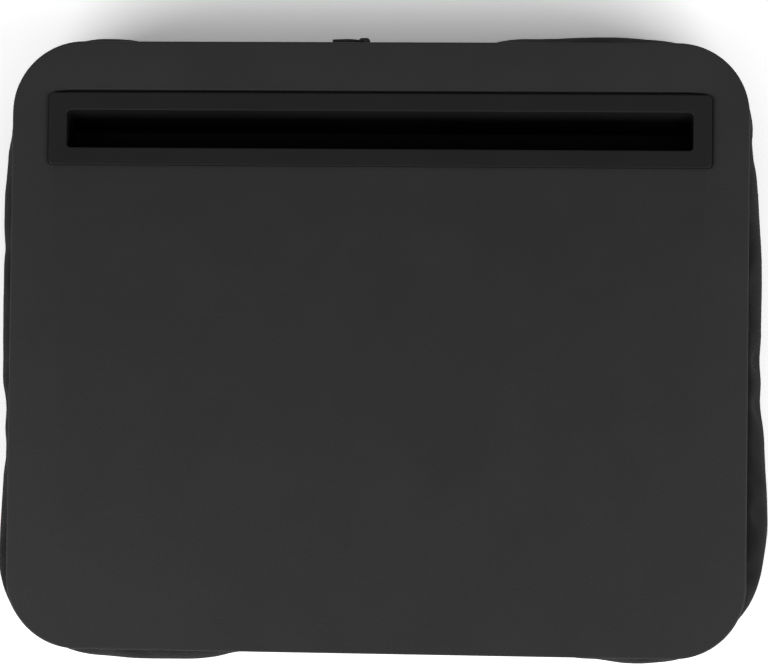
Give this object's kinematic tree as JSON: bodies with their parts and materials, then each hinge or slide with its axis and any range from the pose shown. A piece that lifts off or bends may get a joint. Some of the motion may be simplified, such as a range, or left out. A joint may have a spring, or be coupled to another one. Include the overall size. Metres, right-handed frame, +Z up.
{
  "type": "tablet cushion stand",
  "caption": "Lap stand: a rounded plastic tray with a long slanted trough that props a tablet, held by hook-and-loop strips on a bead-filled zipped cushion.",
  "frame": {"origin": "middle of the bounding box in plan, on the surface that the cushion rests on", "axes": "+X to the user's right along the trough, +Y away from the user towards the trough, +Z up"},
  "size_m": [0.3878, 0.3198, 0.0665],
  "materials": {
    "charcoal_plastic": "matte",
    "dark_plastic": "satin",
    "black_fabric": "matte",
    "liner_fabric": "matte",
    "beads": "matte",
    "black_tape": "matte",
    "zip_nylon": "satin",
    "zip_metal": "satin"
  },
  "bodies": {
    "cushion": {"cover_top_panel": "black_fabric", "cover_boxing": "black_fabric", "cover_base_panel": "black_fabric", "liner_upper": "liner_fabric", "liner_lower": "liner_fabric", "bead_fill": "beads", "loop_strip_rear": "black_tape", "loop_strip_front": "black_tape", "loop_strip_left": "black_tape", "loop_strip_right": "black_tape", "zip_tape_upper": "black_tape", "zip_tape_lower": "black_tape", "zip_teeth_upper": "zip_nylon", "zip_teeth_lower": "zip_nylon", "zip_top_stop_upper": "zip_metal", "zip_top_stop_lower": "zip_metal", "zip_bottom_stop": "zip_metal"},
    "tray": {"tray_panel": "charcoal_plastic", "slot_insert": "dark_plastic", "hook_strip_rear": "black_tape", "hook_strip_front": "black_tape", "hook_strip_left": "black_tape", "hook_strip_right": "black_tape"},
    "slider": {"zip_slider": "zip_metal"},
    "pull": {"zip_pull": "zip_metal"}
  },
  "joints": [
    {"name": "tray_lift", "type": "slide", "parent": "cushion", "child": "tray", "axis": [0, 0, 1], "range_m": [0, 0.08]},
    {"name": "zip_run", "type": "slide", "parent": "cushion", "child": "slider", "axis": [-1, 0, 0], "range_m": [0, 0.09]},
    {"name": "pull_hinge", "type": "hinge", "parent": "slider", "child": "pull", "pos_m": [-0.0095, 0.15801, 0.032], "axis": [0, 0, -1], "range_deg": [0, 180]}
  ]
}
